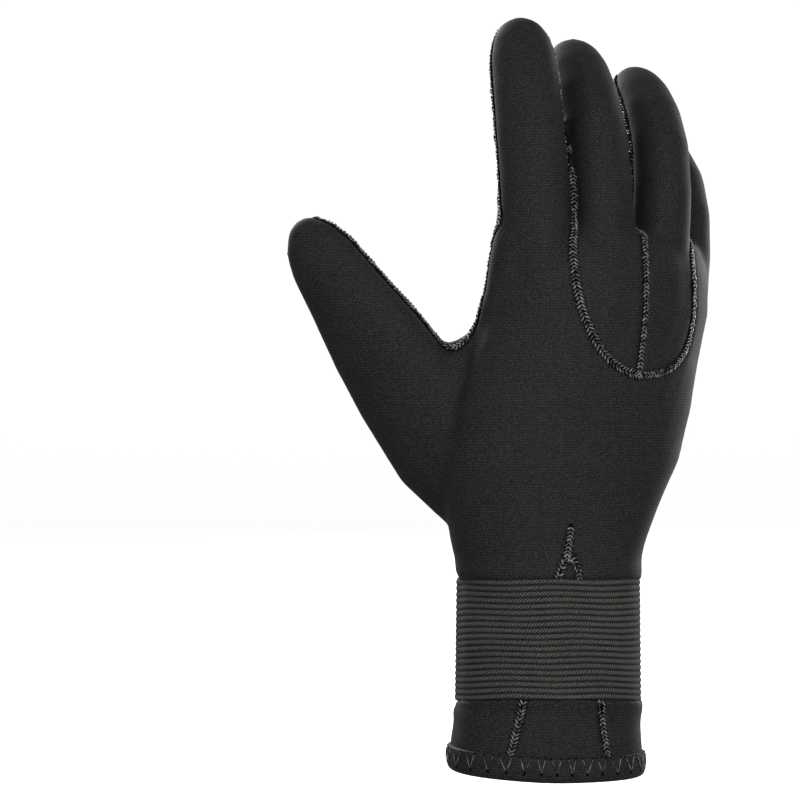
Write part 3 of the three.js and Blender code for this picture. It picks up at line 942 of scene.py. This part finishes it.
class GLOVE_OT_strap(bpy.types.Operator):
    """Weaves the ribbed elastic strap"""

    bl_idname = "glove.strap"
    bl_label = "Elastic strap"

    def execute(self, context):
        size = sizes()
        bm = node_mesh("elastic_strap")
        low, high = min(v.co.z for v in bm.verts), max(v.co.z for v in bm.verts)
        ribs = max(1, round((high - low) / size.rib_step))
        rows = ribs * 5
        for row in range(1, rows):
            level = low + (high - low) * row / rows
            bmesh.ops.bisect_plane(
                bm, geom=bm.verts[:] + bm.edges[:] + bm.faces[:], dist=0.01 * MM,
                plane_co=(0, 0, level), plane_no=(0, 0, 1),
            )
        bm.normal_update()
        rib = bm.verts.layers.float.new("rib")
        for vert in bm.verts:
            outward = Vector((vert.co.x, vert.co.y, 0)).normalized()
            if vert.normal.dot(outward) < 0.3:
                continue
            turn = math.atan2(vert.co.y, vert.co.x)
            # The ribs waver a little round the wrist
            wave = 0.12 * math.sin(5 * turn + 90 * vert.co.z)
            phase = (vert.co.z - low) / (high - low) * ribs + wave
            crest = abs(math.sin(math.pi * phase)) ** 0.8
            vert[rib] = crest
            vert.co += outward * size.rib_height * (crest - 0.6)
        for vert in bm.verts:
            vert.co.z += strap_rise(vert.co, (vert.co.z - low) / (high - low))
        layer = bm.loops.layers.uv.new("along")
        for face in bm.faces:
            spots = [loop.vert.co for loop in face.loops]
            turns = [math.atan2(spot.y / WRIST_DEEP, spot.x / WRIST_WIDE) for spot in spots]
            for loop, turn in zip(face.loops, turns):
                # A face across the join of the round keeps its corners together
                if turn - turns[0] > math.pi:
                    turn -= 2 * math.pi
                if turns[0] - turn > math.pi:
                    turn += 2 * math.pi
                loop[layer].uv = (turn * WRIST_MEAN, loop.vert.co.z)
        tree = BVHTree.FromBMesh(bm)
        elastic = elastic_material("Elastic webbing, woven", colours().elastic)
        new_piece("ribbed_strap", bm, elastic, "elastic_webbing", "elastic_strap")
        # A box of stitches holds the lapped tab on the palm side
        edge, stitch = 3.4 * MM, 2.1 * MM
        first, last = TAB_TURNS
        corners = ((first, low + edge), (last, low + edge), (last, high - edge), (first, high - edge))
        threads = bmesh.new()
        form = grain(6, 4)
        chance = random.Random(5)
        for (turn_a, rise_a), (turn_b, rise_b) in zip(corners, corners[1:] + corners[:1]):
            length = math.hypot((turn_b - turn_a) * TAB_RADIUS, rise_b - rise_a)
            count = round(length / stitch)
            spots = []
            for number in range(count + 1):
                turn = turn_a + (turn_b - turn_a) * number / count
                rise = rise_a + (rise_b - rise_a) * number / count
                outward = Vector((math.cos(turn), math.sin(turn), 0))
                spots.append(tree.ray_cast(outward * 0.07 + Vector((0, 0, rise)), -outward)[:2])
            for (a, out), (b, _) in zip(spots, spots[1:]):
                lean = out.cross(b - a).normalized() * chance.uniform(-0.3, 0.3) * MM
                middle = (a + b) / 2 + out * 0.12 * MM
                lay(threads, form, middle, b - a + lean, out, (b - a).length * 0.78, 0.5 * MM, 0.45 * MM)
        thread = thread_material("Strap thread, spun polyester", colours().strap_thread, 0.45)
        new_piece("strap_stitches", threads, thread, "elastic_webbing")
        return {"FINISHED"}


class GLOVE_OT_hem(bpy.types.Operator):
    """Rolls the cuff's hem and stitches it"""

    bl_idname = "glove.hem"
    bl_label = "Cuff hem"

    def execute(self, context):
        size = sizes()
        bm = node_mesh("cuff_hem")
        bmesh.ops.join_triangles(
            bm,
            faces=bm.faces[:],
            angle_face_threshold=math.radians(60),
            angle_shape_threshold=math.radians(70),
        )
        for vert in bm.verts:
            # The upper part is set a little higher than the solid's
            if vert.co.z > 6 * MM:
                vert.co.z += 1.4 * MM
            vert.co.z += hem_rise(vert.co)
        tones = colours()
        jersey = jersey_material("Hem jersey, turned", tones.jersey, tones.jersey_light)
        hem = new_piece("turned_hem", bm, jersey, "neoprene", "cuff_hem")
        smooth = hem.modifiers.new("roll", "SUBSURF")
        smooth.levels = 2
        smooth.render_levels = 2
        graph = bpy.context.evaluated_depsgraph_get()
        tree = BVHTree.FromObject(hem, graph)
        count = round(2 * math.pi * HEM_MEAN / size.hem_stitch)
        threads = bmesh.new()
        holes = bmesh.new()
        form = grain(6, 4)
        chance = random.Random(11)
        for number in range(count):
            for sign in (-1, 1):
                turn = 2 * math.pi * (number + 0.5 + sign * chance.uniform(0.22, 0.42)) / count
                tip = 2 * math.pi * (number + 0.5) / count
                ends = []
                for angle, rise in ((turn, 8.6 * MM), (tip, 3.2 * MM)):
                    outward = Vector((math.cos(angle), math.sin(angle), 0))
                    rise += hem_rise(outward * HEM_AIM)
                    source = outward * 0.06 + Vector((0, 0, rise))
                    ends.append(tree.ray_cast(source, -outward, 0.06)[:2])
                (a, na), (b, nb) = ends
                # Flat near-black patches at both ends of the stitch: painted shade in the needle holes
                lay(holes, form, b, Vector((0, 0, 1)), nb, 1.5 * MM, 1.1 * MM, 0.35 * MM)
                lay(holes, form, a, Vector((0, 0, 1)), na, 1.3 * MM, 0.8 * MM, 0.3 * MM)
                middle = (a + b) / 2 + (na + nb).normalized() * 0.38 * MM
                length = (b - a).length * chance.uniform(0.92, 1.05)
                lay(threads, form, middle, b - a, (na + nb) / 2, length, 0.42 * MM, 0.42 * MM)
        thread = thread_material("Hem thread, spun polyester", tones.thread, 0.5)
        new_piece("hem_stitches", threads, thread, "neoprene")
        shadow = shade_sheet_material("Needle holes, shadowed", tones.shadow)
        new_piece("hem_needle_hole_shade", holes, shadow, "neoprene")
        return {"FINISHED"}


# The studio's lights: where each stands in metres, its watts, its width and its height
LIGHTS = {
    "key": ((0.45, -1.2, 0.55), 10, 0.6, 0.6),
    "fill": ((-0.95, -0.75, 0.75), 3.2, 0.5, 0.9),
    "back_left": ((-0.6, 1.1, 0.9), 19, 0.6, 0.8),
    "back_right": ((0.8, 0.9, 0.3), 9, 0.4, 0.9),
}
LIGHT_TARGET = (-0.02, 0, 0.14)
WORLD_STRENGTH = 0.26
CAMERA_AWAY = 0.8  # metres from the middle of the glove
SENSOR = 36  # millimetres


def area_light(name, place, target, power, width, height):
    """A rectangular light at a place, turned to the target"""
    data = bpy.data.lights.new(name, "AREA")
    data.shape = "RECTANGLE"
    data.size, data.size_y = width, height
    data.energy = power
    light = bpy.data.objects.new(name, data)
    light.location = place
    light.rotation_euler = (Vector(target) - Vector(place)).to_track_quat("-Z", "Y").to_euler()
    bpy.context.scene.collection.objects.link(light)


class GLOVE_OT_stage(bpy.types.Operator):
    """Sets the camera, the floor and the lights"""

    bl_idname = "glove.stage"
    bl_label = "Stage"

    def execute(self, context):
        data = bpy.data.cameras.new("camera")
        camera = bpy.data.objects.new("camera", data)
        across, down = ORIGIN_PIXEL
        half = IMAGE_SIZE / 2
        camera.location = ((half - across) * PIXEL, -CAMERA_AWAY, (down - half) * PIXEL)
        camera.rotation_euler = (math.pi / 2, 0, 0)
        data.sensor_width = SENSOR
        data.lens = SENSOR * CAMERA_AWAY / (IMAGE_SIZE * PIXEL)
        data.clip_start = 0.05
        data.clip_end = 50
        context.scene.collection.objects.link(camera)
        context.scene.camera = camera
        # A round studio sweep: the floor curves up into a wall on every side
        bm = bmesh.new()
        reach, curve, low = 2.2, 0.8, -0.03
        turns = [math.radians(turn) for turn in range(0, 91, 10)]
        bend = [
            (reach + curve * math.sin(turn), low + curve * (1 - math.cos(turn))) for turn in turns
        ]
        profile = [(0, low)] + bend + [(reach + curve, 3.2)]
        verts = [bm.verts.new((x, 0, z)) for x, z in profile]
        edges = [bm.edges.new(pair) for pair in zip(verts, verts[1:])]
        bmesh.ops.spin(
            bm,
            geom=verts + edges,
            cent=(0, 0, 0),
            axis=(0, 0, 1),
            angle=2 * math.pi,
            steps=48,
            use_merge=True,
        )
        bmesh.ops.remove_doubles(bm, verts=bm.verts[:], dist=1e-5)
        bmesh.ops.recalc_face_normals(bm, faces=bm.faces[:])
        bmesh.ops.reverse_faces(bm, faces=bm.faces[:])
        mesh = bpy.data.meshes.new("floor")
        bm.to_mesh(mesh)
        bm.free()
        mesh.materials.append(floor_material("Studio board, matt white", colours().floor))
        mesh.shade_smooth()
        floor = bpy.data.objects.new("floor", mesh)
        # The white board shows behind the black glove without throwing light on it
        floor.visible_diffuse = False
        floor.visible_glossy = False
        context.scene.collection.objects.link(floor)
        for name, (place, power, width, height) in LIGHTS.items():
            area_light(name, place, LIGHT_TARGET, power, width, height)
        world = bpy.data.worlds.new("studio")
        world.use_nodes = True
        sky = world.node_tree.nodes["Background"]
        sky.inputs["Color"].default_value = (1, 1, 1, 1)
        sky.inputs["Strength"].default_value = WORLD_STRENGTH
        context.scene.world = world
        context.scene.view_settings.view_transform = "Standard"
        return {"FINISHED"}


class GLOVE_PT_panel(bpy.types.Panel):
    """Lists the glove's operators and sizes"""

    bl_idname = "GLOVE_PT_panel"
    bl_label = "Diving glove"
    bl_space_type = "VIEW_3D"
    bl_region_type = "UI"
    bl_category = "Glove"

    def draw(self, context):
        for operator in OPERATORS:
            self.layout.operator(operator.bl_idname)
        for group in (context.scene.glove_sizes, context.scene.glove_colours):
            for key in group.__annotations__:
                self.layout.prop(group, key)


OPERATORS = (
    GLOVE_OT_stage, GLOVE_OT_panels, GLOVE_OT_seams, GLOVE_OT_dots, GLOVE_OT_strap, GLOVE_OT_hem,
)
CLASSES = (GloveSizes, GloveColours) + OPERATORS + (GLOVE_PT_panel,)


def register():
    for item in CLASSES:
        bpy.utils.register_class(item)
    bpy.types.Scene.glove_sizes = PointerProperty(type=GloveSizes)
    bpy.types.Scene.glove_colours = PointerProperty(type=GloveColours)


def unregister():
    del bpy.types.Scene.glove_colours
    del bpy.types.Scene.glove_sizes
    for item in reversed(CLASSES):
        bpy.utils.unregister_class(item)


def main():
    register()
    bpy.ops.glove.stage()
    bpy.ops.glove.panels()
    bpy.ops.glove.seams()
    bpy.ops.glove.dots()
    bpy.ops.glove.strap()
    bpy.ops.glove.hem()


if __name__ == "__main__":
    main()
